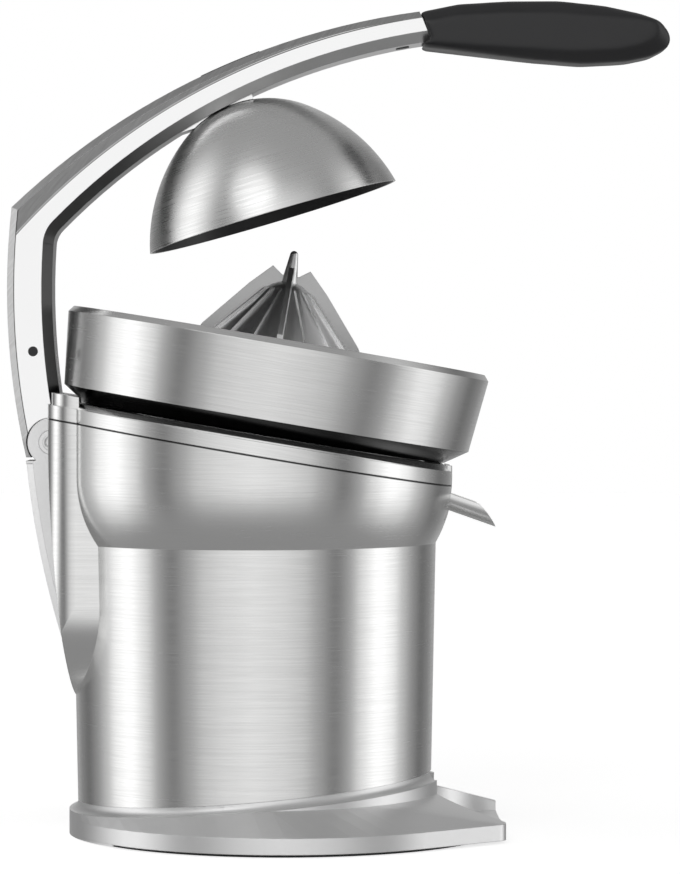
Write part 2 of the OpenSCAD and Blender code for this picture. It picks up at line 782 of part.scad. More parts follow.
module knee_washers() {
  color(steel) for (s = [-1, 1]) translate([knee[0], s * (arm_w / 2 - washer_t / 2), knee[1]])
    rotate([90, 0, 0]) difference() {
      cylinder(r = washer_r, h = washer_t, center = true, $fn = small_fn);
      cylinder(r = pin_r + pin_play, h = 2 * washer_t, center = true, $fn = small_fn);
    }
}

module guide_link() {
  bar_half = 1.7 * guide_pin_r;
  color(steel) difference() {
    union() {
      translate([guide_pivot[0], 0, guide_pivot[1]]) rotate([90, 0, 0])
        cylinder(r = 2.3 * guide_pin_r, h = guide_t, center = true, $fn = small_fn);
      translate([guide_end[0], 0, guide_end[1]]) rotate([90, 0, 0])
        cylinder(r = guide_eye, h = guide_t, center = true, $fn = small_fn);
      xz(guide_t) polygon(bar_points(guide_pivot, guide_end, bar_half));
    }
    cross_pin(guide_pivot, guide_pin_r + pin_play, reach);
    cross_pin(guide_end, pin_r + guide_drift, reach);
  }
}

// Corners of a straight bar between two points
function bar_points(a, b, half) =
  let (d = (b - a) / norm(b - a), n = [-d[1], d[0]])
  [a + half * (n + 0.3 * d), b + half * (n - 0.3 * d), b - half * (n + 0.3 * d), a - half * (n - 0.3 * d)];

// Where two circles cross, on the left of the way from the first centre to the second
function crossing(a, ra, b, rb) =
  let (d = norm(b - a), u = (b - a) / d, x = (d * d + ra * ra - rb * rb) / (2 * d))
  a + x * u + sqrt(ra * ra - x * x) * [-u[1], u[0]];

function angle_of(d) = atan2(d[1], d[0]);

leg_foot = 8;
inner_corner = crossing(arm_in_c, arm_in_r, leg_c, leg_in_r);
fillet_c = crossing(arm_in_c, arm_in_r - elbow_fillet_r, leg_c, leg_in_r - elbow_fillet_r);
// Directions from the arcs' centres to where the fillet touches them
fillet_a1 = angle_of(fillet_c - arm_in_c);
fillet_a2 = angle_of(fillet_c - leg_c);

// The metal ends on a slant where the grip starts
grip_start = arm_c + arm_bow_r * [cos(grip_a), sin(grip_a)];
end_slant = 0.4;

module end_side(shift) {
  translate(grip_start + [shift, 0]) polygon([[end_slant * -reach, reach], [-4 * reach, reach],
    [-4 * reach, -reach], [end_slant * reach, -reach]]);
}

// Outline of the arm: leg, elbow and upper arc, up to the hand grip
module arm_outline() {
  intersection() {
    translate(arm_c) circle(r = arm_bow_r, $fn = long_fn);
    translate(leg_c) circle(r = leg_bow_r, $fn = long_fn);
    union() {
      // Leg, up to the inner corner
      difference() {
        translate([elbow[0] - leg_depth, knee[1] - leg_foot])
          square([3 * leg_depth, inner_corner[1] - knee[1] + leg_foot]);
        translate(leg_c) circle(r = leg_in_r, $fn = long_fn);
      }
      // Upper arc, from the inner corner's height up
      difference() {
        translate([elbow[0] - leg_depth, inner_corner[1] - over])
          square([reach + leg_depth, reach]);
        translate(arm_in_c) circle(r = arm_in_r, $fn = long_fn);
      }
      difference() {
        polygon([inner_corner - [over, 0], inner_corner + [-over, over], arm_in_c + (arm_in_r + over) * [cos(fillet_a1), sin(fillet_a1)],
          fillet_c, leg_c + (leg_in_r + over) * [cos(fillet_a2), sin(fillet_a2)]]);
        translate(fillet_c) circle(r = elbow_fillet_r);
      }
    }
    end_side(0);
  }
}

module arm_casting() {
  color(cast_metal) difference() {
    union() {
      difference() {
        xz(arm_w) arm_outline();
        bevel_ring(arm_c, arm_bow_r, outer_bevel, outer_bevel, 1, 85, 65);
        bevel_ring(leg_c, leg_bow_r, outer_bevel, outer_bevel, 1, 160, 40);
        bevel_ring(arm_in_c, arm_in_r, inner_bevel, inner_bevel_w, -1, 85, fillet_a1 - 85);
        bevel_ring(fillet_c, elbow_fillet_r, inner_bevel, inner_bevel_w, -1, fillet_a1, fillet_a2 - fillet_a1);
        bevel_ring(leg_c, leg_in_r, inner_bevel, inner_bevel_w, -1, fillet_a2, 30);
        // The ears of the lower link take this room
        for (s = [-1, 1]) translate([knee[0], s * (arm_w / 2 - ear_t / 2 + over / 2), knee[1]]) {
          rotate([90, 0, 0]) cylinder(r = ear_r + chan_gap, h = ear_t + over + gap, center = true);
          translate([-ear_r * 0.8, -(ear_t + over + gap) / 2, -reach]) cube([reach, ear_t + over + gap, reach]);
        }
        translate([knee[0] - tongue_r * 0.8, -reach, -reach]) cube([reach, 2 * reach, reach + knee[1]]);
      }
      // Tongue round the knee pin
      translate([knee[0], 0, knee[1]]) rotate([90, 0, 0]) cylinder(r = tongue_r, h = tongue_w, center = true);
      dome_saddle();
      grip_tang();
    }
    cross_pin(knee, pin_r, reach);
    cross_pin(guide_end, pin_r, reach);
    guide_slot();
    pivot_relief();
    cover_pocket();
    // Seat of the dome in the casting's underside
    dome_place() rotate_extrude() dome_section(-gap);
    grip_screw_place() {
      cylinder(r = screw_r, h = grip_root_depth / 2, $fn = small_fn);
      translate([0, 0, -reach / 4]) cylinder(r = screw_head_r + gap / 2, h = reach / 4, $fn = small_fn);
    }
    dome_screw_places() translate([0, 0, dome_crown_r - over]) cylinder(r = screw_r, h = dome_screw_len, $fn = small_fn);
  }
}

tongue_r = 11.4;
tongue_w = arm_w - 2 * ear_t - 2 * gap;
slot_w = guide_t + 2 * gap;

// Slot in the leg for the guide link, through to the leg's front edge
module guide_slot() {
  xz(slot_w) union() {
    translate(guide_end) circle(r = guide_eye + guide_drift);
    polygon([guide_end + [-guide_eye - guide_drift, 0], guide_end + [0, guide_eye + guide_drift],
      guide_end + [3 * leg_depth, guide_eye + guide_drift], guide_end + [3 * leg_depth, -guide_high_z],
      [guide_end[0], knee[1] + tongue_r + over], [guide_end[0] - guide_eye - guide_drift, guide_end[1] - guide_eye]]);
  }
}

// Room at the leg's front edge for the pin that the guide link turns on
module pivot_relief() {
  r = guide_pin_r + guide_drift / 2;
  cross_pin(guide_pivot, r, reach);
  xz(arm_w + over) polygon([guide_pivot + [0, -r], guide_pivot + [leg_depth, -r],
    guide_pivot + [leg_depth, leg_depth], guide_pivot + r * [-0.6, 0.7]]);
}

module knee_pin() {
  color(steel) cross_pin(knee, pin_r, arm_w);
}

module guide_end_pin() {
  color(rubber) cross_pin(guide_end, pin_r, arm_w - over);
}

// Places along the arm's upper arc, by angle, with X along the arm
module on_arm(a) {
  translate([arm_c[0] + arm_bow_r * cos(a), 0, arm_c[1] + arm_bow_r * sin(a)]) rotate([0, 90 - a, 0]) children();
}

cover_a = [115.6, 110.6];
cover_w = 16;
cover_deep = 3;
cover_proud = 0.8;

module cover_pocket() {
  cover_block(cover_w, -cover_deep, over * 3);
}

module cover_block(w, low, high) {
  intersection() {
    translate([arm_c[0], 0, arm_c[1]]) rotate([90, 0, 0])
      difference() {
        cylinder(r = arm_bow_r + high, h = w, center = true, $fn = long_fn);
        cylinder(r = arm_bow_r + low, h = 2 * w, center = true, $fn = long_fn);
      }
    translate([cover_x[0], -reach, elbow[1]]) cube([cover_x[1] - cover_x[0], 2 * reach, reach]);
  }
}

cover_x = [for (a = cover_a) arm_c[0] + arm_bow_r * cos(a)];

module arm_cover() {
  color(rubber) cover_block(cover_w, -cover_deep, cover_proud);
}

// The hand grip, along the arm from where the metal stops
grip_turn = grip_a - 90;
tang_len = 60;
tang_w = 16;
tang_depth = 8;
grip_root_depth = arm_bow_r - arm_in_r - arm_taper * sin(grip_a);
grip_line_z = -grip_root_depth / 2 - tang_depth / 2;

module grip_frame() {
  translate([grip_start[0], 0, grip_start[1]]) rotate([0, -grip_turn, 0]) children();
}

module tang_block(play) {
  grip_frame() translate([-4 * over, -tang_w / 2 - play, grip_line_z - play])
    cube([tang_len + 4 * over + play, tang_w + 2 * play, tang_depth + 2 * play]);
}

module grip_tang() {
  tang_block(0);
}

// Side outline of the grip as shares of its length and depth
grip_top_shares = [[0, 0], [0.16, 0.06], [0.36, -0.02], [0.56, -0.16], [0.74, -0.4], [0.88, -0.68], [0.955, -0.9]];
grip_low_shares = [[0.985, -1.16], [0.99, -1.36], [0.97, -1.52], [0.9, -1.66], [0.8, -1.7], [0.62, -1.62],
  [0.42, -1.38], [0.26, -1.12], [0.1, -0.88], [-0.01, -0.78]];

module grip_outline(inset) {
  polygon(concat(
    [for (p = grip_top_shares) [p[0] * (grip_len - inset), p[1] * grip_depth / 1.35 - inset]],
    [for (p = grip_low_shares) [p[0] * (grip_len - inset), p[1] * grip_depth / 1.35 + inset * min(1, 3 * p[0] + 0.3)]]));
}

module hand_grip() {
  color(rubber) difference() {
    grip_frame() hull() {
      xz(grip_w) grip_outline(grip_depth / 5);
      xz(grip_w - grip_depth / 2.6) grip_outline(0);
    }
    tang_block(0);
    // Room for the arm's end, which the grip laps from below
    xz(reach) difference() {
      end_side(0.01 * over);
      translate(arm_in_c) circle(r = arm_in_r - grip_lap_gap, $fn = long_fn);
    }
  }
}

grip_lap_gap = 0.1;
screw_seat = 0.6;

module grip_screw_place() {
  on_arm(grip_a + 1.7) translate([0, 0, -grip_root_depth + screw_seat]) children();
}

module grip_screw() {
  color(rubber) grip_screw_place() {
    cylinder(r = screw_r, h = grip_root_depth / 2, $fn = small_fn);
    translate([0, 0, -2 * screw_seat - over / 2]) cylinder(r = screw_head_r, h = 2 * screw_seat + over / 2, $fn = small_fn);
  }
}

// The dome's place with the arm up is the pressed place, turned back about the moving knee
function turn(p, a) = [p[0] * cos(a) - p[1] * sin(a), p[0] * sin(a) + p[1] * cos(a)];
axis_foot = [deck_x, axis_z];
pressed_rim = axis_foot + (bowl_top_z - dome_sink) * [sin(deck_tilt), cos(deck_tilt)];
knee_pressed = link_pivot + turn(knee - link_pivot, link_swing);
dome_rim = knee + turn(pressed_rim - knee_pressed, arm_turn);

module dome_place() {
  translate([dome_rim[0], 0, dome_rim[1]]) rotate([0, -dome_tilt, 0]) children();
}

// The dome's section: a crown and a side curve that meet in line
side_out = (dome_side_r - dome_crown_r) * sin(dome_split);
side_c = [-side_out, -sqrt(pow(dome_side_r, 2) - pow(dome_r + side_out, 2))];
crown_z = side_c[1] + (dome_side_r - dome_crown_r) * cos(dome_split);
dome_top = crown_z + dome_crown_r;
dome_meet = [dome_crown_r * sin(dome_split), crown_z + dome_crown_r * cos(dome_split)];

module dome_section(inset) {
  intersection() {
    translate(side_c) circle(r = dome_side_r - inset, $fn = 2 * $fn);
    square([dome_r + over, dome_meet[1] - inset / 2]);
  }
  intersection() {
    translate([0, crown_z]) circle(r = dome_crown_r - inset, $fn = 2 * $fn);
    translate([0, dome_meet[1] - inset / 2 - over / 10]) square([dome_r, dome_crown_r]);
  }
}

module press_dome() {
  color(steel) difference() {
    dome_place() difference() {
      rotate_extrude() dome_section(0);
      translate([0, 0, -over / 1000]) rotate_extrude() dome_section(dome_t);
    }
    dome_screw_places() cylinder(r = screw_r + gap / 2, h = reach, $fn = small_fn);
  }
}

module dome_liner() {
  color(dark_plastic) difference() {
    dome_place() difference() {
      rotate_extrude() dome_section(dome_t + gap / 2);
      difference() {
        translate([0, 0, -over / 1000]) rotate_extrude() dome_section(dome_t + liner_t);
        // Ribs that grip the rind
        difference() {
          for (a = [22.5:45:337.5]) rotate([0, 0, a]) translate([dome_r * 0.4, -liner_t / 2, dome_r / 8])
            cube([dome_r, liner_t, dome_r]);
          rotate_extrude() dome_section(dome_t + 1.9 * liner_t);
        }
      }
    }
    dome_screw_places() cylinder(r = screw_r + gap / 2, h = reach, $fn = small_fn);
  }
}

dome_screw_angles = [8, 22];
dome_screw_len = 8;
liner_in_r = dome_crown_r - dome_t - liner_t;

// Screws stand square on the crown, behind its top
module dome_screw_places() {
  dome_place() for (a = dome_screw_angles) translate([0, 0, crown_z]) rotate([0, -a, 0]) children();
}

module dome_screws() {
  seat = sqrt(pow(liner_in_r, 2) - pow(screw_head_r, 2));
  color(steel) dome_screw_places() {
    translate([0, 0, seat - 2 * screw_head_h]) cylinder(r = screw_head_r, h = 2 * screw_head_h, $fn = small_fn);
    translate([0, 0, seat - screw_head_h]) cylinder(r = screw_r, h = dome_crown_r - seat + screw_head_h + dome_screw_len - over, $fn = small_fn);
  }
}

// Cast saddle between the arm and the dome: one foot before and one behind the place where they meet
module dome_saddle() {
  xz(saddle_w) difference() {
    polygon([
      dome_point(-saddle_back, dome_top * 0.88), dome_point(-saddle_back, dome_top * 1.25),
      dome_point(saddle_front, dome_top * 1.7), dome_point(saddle_front, dome_top * 0.9)]);
    translate(arm_c) difference() {
      circle(r = 2 * arm_bow_r, $fn = 32);
      circle(r = arm_bow_r - arm_depth / 2, $fn = long_fn);
    }
  }
}

saddle_back = 46;
saddle_front = 8;

function dome_point(x, z) = dome_rim + [x * cos(dome_tilt) - z * sin(dome_tilt), x * sin(dome_tilt) + z * cos(dome_tilt)];

module bowl_section() {
  polygon([
    [sump_r, -sump_drop], [sump_r, deck_rim_z + gap], [bowl_cone_r, bowl_cone_z], [bowl_foot_r, bowl_foot_z],
    [bowl_rim_r, bowl_top_z - rim_h], [bowl_rim_r - rim_h * 0.8, bowl_top_z],
    [bowl_rim_r - rim_h * 0.8 - bowl_t, bowl_top_z], [bowl_rim_r - bowl_t - rim_h * 0.4, bowl_top_z - rim_h],
    [bowl_foot_r - bowl_t, bowl_foot_z + bowl_t / 2], [bowl_cone_r - bowl_t / 3, bowl_cone_z + bowl_t],
    [sump_r - bowl_t, deck_rim_z + gap + bowl_t], [sump_r - bowl_t, -sump_drop + bowl_t],
    [chimney_r + chimney_t, -sump_drop + bowl_t], [chimney_r + chimney_t, chimney_top],
    [chimney_r, chimney_top], [chimney_r, -sump_drop]]);
}

rim_h = 3.1;
bowl_cone_r = bowl_foot_r - 12;
bowl_cone_z = deck_rim_z + gap + 0.3;

module juice_bowl() {
  color(steel) difference() {
    deck_frame() rotate_extrude($fn = 2 * $fn) bowl_section();
    deck_frame() translate([sump_r / 2, -spout_w / 2 + 3 * bowl_t, -sump_drop + bowl_t])
      cube([sump_r, spout_w - 6 * bowl_t, spout_h - bowl_t]);
  }
}

module spout_frame() {
  deck_frame() translate([sump_r, 0, -spout_drop]) rotate([0, spout_fall, 0]) children();
}

spout_t = 1.3;
spout_corner_r = 8;
nose_c = bow_centre([spout_len, 0], [spout_side, spout_h], spout_nose_r);

module trough_section(w, r, low) {
  translate([-w / 2, low]) rounded_rect(w, 4 * spout_corner_r, r);
}

module trough_form() {
  spout_frame() intersection() {
    yz(-over, 2 * spout_len) trough_section(spout_w, spout_corner_r, 0);
    translate([-2 * over, -spout_w, -over]) cube([2 * spout_len, 2 * spout_w, spout_h + over]);
    translate([nose_c[0], 0, nose_c[1]]) rotate([90, 0, 0]) cylinder(r = spout_nose_r, h = 2 * spout_w, center = true);
  }
}

module bowl_spout() {
  color(steel) difference() {
    union() {
      trough_form();
      // Plate that fills the housing's notch
      intersection() {
        union() {
          ring_form();
          difference() {
            body_form(0);
            body_form(shell_t);
          }
        }
        deck_slab(-notch_foot + gap, ring_bevel_h);
        deck_frame() translate([sump_r, -notch_w / 2 + gap, -reach]) cube([reach, notch_w - 2 * gap, 2 * reach]);
      }
    }
    spout_frame() yz(-spout_w, 2 * spout_len + spout_w)
      trough_section(spout_w - 2 * spout_t, spout_corner_r - spout_t, spout_t);
    deck_frame() translate([0, 0, -reach / 2]) cylinder(r = sump_r, h = reach);
  }
}

strainer_t = 1.2;
strainer_r = bowl_foot_r - 8.6;
strainer_z = 8.4;
strainer_in = 27;
strainer_rise = 6;
slot_n = 40;

module strainer() {
  color(steel) deck_frame() difference() {
    union() {
      translate([0, 0, strainer_z]) difference() {
        cylinder(r1 = strainer_r, r2 = strainer_in, h = strainer_rise + strainer_t);
        translate([0, 0, -strainer_t]) cylinder(r1 = strainer_r, r2 = strainer_in, h = strainer_rise + strainer_t);
        translate([0, 0, -over]) cylinder(r = strainer_in, h = reach);
      }
      translate([0, 0, strainer_z + strainer_rise - strainer_t]) ring(strainer_in + strainer_t, strainer_in - strainer_t / 2, 2 * strainer_rise - 5 * gap);
    }
    for (i = [0:slot_n - 1]) rotate([0, 0, 360 * i / slot_n]) {
      translate([strainer_r * 0.62, -0.7, 0]) cube([strainer_r * 0.32, 1.4, 4 * strainer_rise]);
      rotate([0, 0, 180 / slot_n]) translate([strainer_r * 0.36, -0.7, 0]) cube([strainer_r * 0.22, 1.4, 4 * strainer_rise]);
    }
  }
}

// Points of a round end of radius r about the height z, from angle a0 up to a small flat
round_steps = 10;
round_end = 84;

function round_top(r, z, a0) =
  [for (i = [0:round_steps]) let (a = a0 + (round_end - a0) * i / round_steps) [r * cos(a), r * sin(a) + z]];

// Half outline of the reamer's body, from its skirt to its crown, drawn inwards by the inset
module cone_profile(inset) {
  crown = round_top(crown_r - inset, -crown_drop - crown_r, cone_half_a);
  polygon(concat([[0, -cone_h], [skirt_r - inset, -cone_h], [skirt_r - inset, flank_point(skirt_r)[1] - inset / 2]],
    crown, [[0, crown[round_steps][1]]]));
}

// Half outline of the tapered post with a round tip
module post_profile() {
  tip = round_top(post_r, -post_r, 0);
  polygon(concat([[0, -cone_h * post_h_share], [post_foot_r, -cone_h * post_h_share]], tip, [[0, tip[round_steps][1]]]));
}

function flank_point(r) =
  let (x0 = crown_r * cos(cone_half_a), z0 = -crown_drop - crown_r + crown_r * sin(cone_half_a))
  [r, z0 - (r - x0) / tan(cone_half_a)];

// A fin's outline, from the post at the tip down to the skirt
fin_shares = [[0.1, -0.17], [0.225, -0.119], [0.47, -0.26], [0.7, -0.415], [0.94, -0.576], [1.1, -0.75], [1.13, -0.9], [1.13, -1]];

module fin() {
  rotate([90, 0, 0]) linear_extrude(height = fin_t, center = true)
    polygon(concat([[0, -cone_h / 6]], [for (p = fin_shares) [p[0] * (skirt_r - cone_t / 2), p[1] * cone_h]], [[0, -cone_h]]));
}

module rib(a) {
  low = flank_point(skirt_r - rib_h);
  high = flank_point(crown_r * cos(cone_half_a));
  rotate([0, 0, a]) rotate([90, 0, 0]) linear_extrude(height = rib_t, center = true)
    polygon([[0, high[1]], [high[0], high[1] + rib_h / 2], [high[0] + rib_h, high[1]],
      [low[0] + rib_h, low[1]], [low[0] + rib_h, -cone_h + rib_h], [0, -cone_h + rib_h]]);
}

post_r = 2.2;
post_foot_r = 4.6;
post_h_share = 0.24;

module reamer_cone() {
  color(cast_metal) deck_frame() translate([0, 0, tip_z]) difference() {
    union() {
      rotate_extrude() cone_profile(0);
      for (a = [0, 90, 180, 270]) rotate([0, 0, a]) fin();
      for (q = [0, 90, 180, 270]) for (a = [22.5, 45, 67.5]) rib(q + a);
      rotate_extrude($fn = small_fn) post_profile();
    }
    difference() {
      translate([0, 0, -over / 100]) rotate_extrude() cone_profile(cone_t);
      translate([0, 0, -cone_h + socket_up]) cylinder(r = socket_r, h = cone_h, $fn = small_fn);
    }
    translate([0, 0, -2 * cone_h]) cylinder(r = skirt_r - cone_t, h = cone_h + over, $fn = $fn);
    translate([0, 0, -cone_h]) cylinder(r = spindle_r, h = cone_h - crown_drop - cone_t, $fn = small_fn);
  }
}

socket_r = 8;
socket_up = 4;
spindle_top = tip_z - crown_drop - cone_t - gap;

module spindle() {
  color(steel) deck_frame() translate([0, 0, spindle_low])
    cylinder(r = spindle_r - pin_play, h = spindle_top - spindle_low, $fn = small_fn);
}

module drive_hub() {
  color(brass) deck_frame() difference() {
    union() {
      translate([0, 0, case_under]) cylinder(r = hub_r, h = hub_top - case_under, $fn = small_fn);
      translate([0, 0, gear_z - gear_m]) cylinder(r = hub_r + 3, h = gear_m, $fn = small_fn);
    }
    translate([0, 0, -reach / 2]) cylinder(r = spindle_r, h = reach, $fn = small_fn);
  }
}

// Teeth as shares of the module: half widths at the root, the pitch line and the tip
function tooth(m, n, i) =
  let (rp = m * n / 2, a = 360 * i / n, root = rp - 1.2 * m, tip = rp + 0.9 * m,
    wr = 1.05 * m / root * 57.3, wp = 0.7 * m / rp * 57.3, wt = 0.33 * m / tip * 57.3)
  [root * [cos(a - wr), sin(a - wr)], rp * [cos(a - wp), sin(a - wp)], tip * [cos(a - wt), sin(a - wt)],
    tip * [cos(a + wt), sin(a + wt)], rp * [cos(a + wp), sin(a + wp)], root * [cos(a + wr), sin(a + wr)]];

module gear(n, h) {
  linear_extrude(height = h) polygon([for (i = [0:n - 1]) each tooth(gear_m, n, i)]);
}

module drive_gear() {
  color(brass) deck_frame() translate([0, 0, gear_z]) difference() {
    gear(gear_n, gear_h);
    translate([0, 0, -over]) cylinder(r = hub_r, h = gear_h + 2 * over, $fn = small_fn);
    for (a = [30:60:330]) rotate([0, 0, a]) translate([gear_r * 0.6, 0, -over]) cylinder(r = gear_r / 6, h = gear_h + 2 * over, $fn = small_fn);
  }
}

// Everything on the motor's axis, which lies in front of the hub
module motor_axis() {
  deck_frame() translate([gear_gap, 0, 0]) children();
}

module pinion() {
  color(brass) motor_axis() translate([0, 0, gear_z]) rotate([0, 0, 180 + 180 / pinion_n]) difference() {
    gear(pinion_n, gear_h);
    translate([0, 0, -over]) cylinder(r = shaft_r, h = gear_h + 2 * over, $fn = small_fn);
  }
}

can_t = 1.4;
rotor_r = motor_r - can_t - 8;
rotor_low = motor_top - motor_h + 16;

module motor_rotor() {
  color("#8a5a3a") motor_axis() {
    translate([0, 0, motor_top - motor_h - 4]) cylinder(r = shaft_r, h = motor_h + 4 - motor_top + gear_z + gear_h, $fn = small_fn);
    translate([0, 0, rotor_low]) cylinder(r = rotor_r, h = motor_h - 26, $fn = small_fn);
  }
}

module cooling_fan() {
  color(dark_plastic) motor_axis() translate([0, 0, motor_top - motor_h + 2.5]) difference() {
    union() {
      cylinder(r = 7, h = 8, $fn = small_fn);
      cylinder(r = motor_r - can_t - 4, h = 1.5, $fn = small_fn);
      for (a = [0:40:320]) rotate([0, 0, a]) translate([6, -0.7, 0]) cube([motor_r - can_t - 10, 1.4, 8]);
    }
    translate([0, 0, -over]) cylinder(r = shaft_r, h = 10, $fn = small_fn);
  }
}

module motor_can() {
  color(cast_metal) motor_axis() translate([0, 0, motor_top - motor_h]) difference() {
    cylinder(r = motor_r, h = motor_h);
    translate([0, 0, can_t]) cylinder(r = motor_r - can_t, h = motor_h - 2 * can_t);
    translate([0, 0, -over]) cylinder(r = shaft_r + 0.1, h = motor_h + 2 * over, $fn = small_fn);
    for (a = [0:60:300]) rotate([0, 0, a]) translate([motor_r - 2 * can_t, -3, 6]) cube([3 * can_t, 6, 12]);
  }
}

module motor_plate() {
  color(steel) motor_axis() translate([0, 0, motor_top]) difference() {
    cylinder(r = flange_r, h = plate_t);
    translate([0, 0, -over]) cylinder(r = pinion_r + gear_m + gap, h = plate_t + 2 * over, $fn = small_fn);
    translate([-gear_gap, 0, -over]) cylinder(r = bearing_r + 3, h = plate_t + 2 * over, $fn = small_fn);
    motor_screw_places() translate([0, 0, -over]) cylinder(r = screw_r, h = plate_t + 2 * over, $fn = small_fn);
  }
}

flange_r = motor_r + 8;

module motor_screw_places() {
  for (a = [45, 135, 225, 315]) rotate([0, 0, a]) translate([flange_r - screw_head_r - gap, 0, 0]) children();
}

module motor_screws() {
  color(steel) motor_axis() motor_screw_places() {
    translate([0, 0, motor_top - 2 * screw_head_h]) cylinder(r = screw_head_r, h = 2 * screw_head_h, $fn = small_fn);
    translate([0, 0, motor_top - screw_head_h]) cylinder(r = screw_r, h = plate_t + case_t + screw_head_h, $fn = small_fn);
  }
}

module case_outline(grow) {
  circle(r = case_r + grow);
  translate([gear_gap, 0]) circle(r = pinion_case_r + grow);
  translate([0, -pinion_case_r - grow]) square([gear_gap, 2 * (pinion_case_r + grow)]);
}

lug_r = 4.5;
lug_h = 5;
lug_grip = 1;

module lug_places() {
  for (a = [75, 135, 225, 285]) rotate([0, 0, a]) translate([case_r + lug_r - lug_grip, 0, 0]) children();
}

module gearbox_case() {
  color(dark_plastic) deck_frame() difference() {
    union() {
      translate([0, 0, case_under]) linear_extrude(height = cover_top - cover_t - case_under) case_outline(0);
      translate([gear_gap, 0, case_under]) cylinder(r = flange_r, h = case_t);
      lug_places() translate([0, 0, cover_top - cover_t - lug_h]) cylinder(r = lug_r, h = lug_h, $fn = small_fn);
    }
    translate([0, 0, case_floor]) linear_extrude(height = reach) case_outline(-case_t);
    translate([0, 0, case_under - over]) cylinder(r = hub_r + pin_play, h = reach, $fn = small_fn);
    translate([gear_gap, 0, case_under - over]) cylinder(r = pinion_r + gear_m + gap, h = reach, $fn = small_fn);
    lug_places() translate([0, 0, -reach / 2]) cylinder(r = screw_r * 0.8, h = reach, $fn = small_fn);
    translate([gear_gap, 0, case_under - over]) motor_screw_places() cylinder(r = screw_r, h = case_t + 2 * over, $fn = small_fn);
  }
}

module gearbox_cover() {
  color(dark_plastic) deck_frame() difference() {
    union() {
      translate([0, 0, cover_top - cover_t]) linear_extrude(height = cover_t) case_outline(0);
      lug_places() translate([0, 0, cover_top - cover_t]) cylinder(r = lug_r, h = cover_t + post_h, $fn = small_fn);
      translate([0, 0, cover_top - over]) cylinder(r = bearing_r + 2, h = post_h - gap + over, $fn = small_fn);
    }
    translate([0, 0, cover_top - cover_t - over]) cylinder(r = bearing_r, h = reach, $fn = small_fn);
    lug_places() translate([0, 0, -reach / 2]) cylinder(r = screw_r * 0.8, h = reach, $fn = small_fn);
  }
}

module gearbox_screws() {
  color(steel) deck_frame() lug_places() {
    translate([0, 0, cover_top - cover_t - lug_h - 2 * screw_head_h]) cylinder(r = screw_head_r - gap, h = 2 * screw_head_h, $fn = small_fn);
    translate([0, 0, cover_top - cover_t - lug_h - screw_head_h])
      cylinder(r = screw_r * 0.8, h = deck_under + deck_t / 2 - cover_top + cover_t + lug_h + screw_head_h, $fn = small_fn);
  }
}

module hub_bearings() {
  color(steel) deck_frame() translate([0, 0, cover_top - cover_t + gap]) ring(bearing_r, hub_r + 0.05, bearing_h);
}

module shaft_seal() {
  color(rubber) deck_frame() translate([0, 0, tube_top - 4]) ring(tube_r, hub_r + 0.05, 4);
}

switch_w = 10;
switch_h = 12;
plunger_r = 1.6;
plunger_play = 0.1;
strap_t = 1.5;

module switch_place() {
  deck_frame() translate([0, 0, spindle_low - press_travel - plunger_play]) children();
}

module switch_plunger() {
  color("#b03028") switch_place() translate([0, 0, -1.5 * press_travel])
    cylinder(r = plunger_r, h = 2.5 * press_travel, $fn = small_fn);
}

module switch_body() {
  color(dark_plastic) switch_place() difference() {
    translate([-switch_w, -switch_w / 2, -switch_h]) cube([2 * switch_w, switch_w, switch_h]);
    translate([0, 0, -3 * press_travel]) cylinder(r = plunger_r + plunger_play, h = reach, $fn = small_fn);
  }
}

// Strap that hangs the switch under the gearbox
module switch_bracket() {
  top = case_under - spindle_low + press_travel + plunger_play;
  color(steel) switch_place() {
    translate([-switch_w - strap_t, -switch_w / 2, -switch_h - strap_t]) cube([2 * switch_w + strap_t, switch_w, strap_t]);
    translate([-switch_w - strap_t, -switch_w / 2, -switch_h - strap_t]) cube([strap_t, switch_w, switch_h + strap_t + top]);
    translate([-2 * switch_w, -switch_w / 2, top - strap_t]) cube([switch_w, switch_w, strap_t]);
  }
}

module spindle_spring() {
  turns = 4;
  steps = 14 * turns;
  low = hub_top + gap + 0.7;
  high = skirt_z + socket_up - press_travel - 1;
  coil = [for (i = [0:steps]) let (a = 360 * turns * i / steps)
    [(spindle_r + 1.4) * cos(a), (spindle_r + 1.4) * sin(a), low + (high - low) * i / steps]];
  color(steel) deck_frame() wire(coil, 0.6, 8);
}

base_casting();
base_plate();
foot_ring();
base_screws();
cord_gland();
housing_shell();
trim_ring();
top_deck();
arm_frame();
frame_screws();
link_pin();
guide_pivot_pin();
return_spring();
gearbox_case();
gearbox_cover();
gearbox_screws();
hub_bearings();
shaft_seal();
motor_can();
motor_plate();
motor_screws();
switch_bracket();
switch_body();
switch_plunger();
juice_bowl();
bowl_spout();
strainer();
lower_link();
guide_link();
arm_casting();
arm_cover();
knee_pin();
knee_washers();
guide_end_pin();
hand_grip();
grip_screw();
press_dome();
dome_liner();
dome_screws();
drive_hub();
drive_gear();
spindle_spring();
spindle();
reamer_cone();
motor_rotor();
pinion();
cooling_fan();
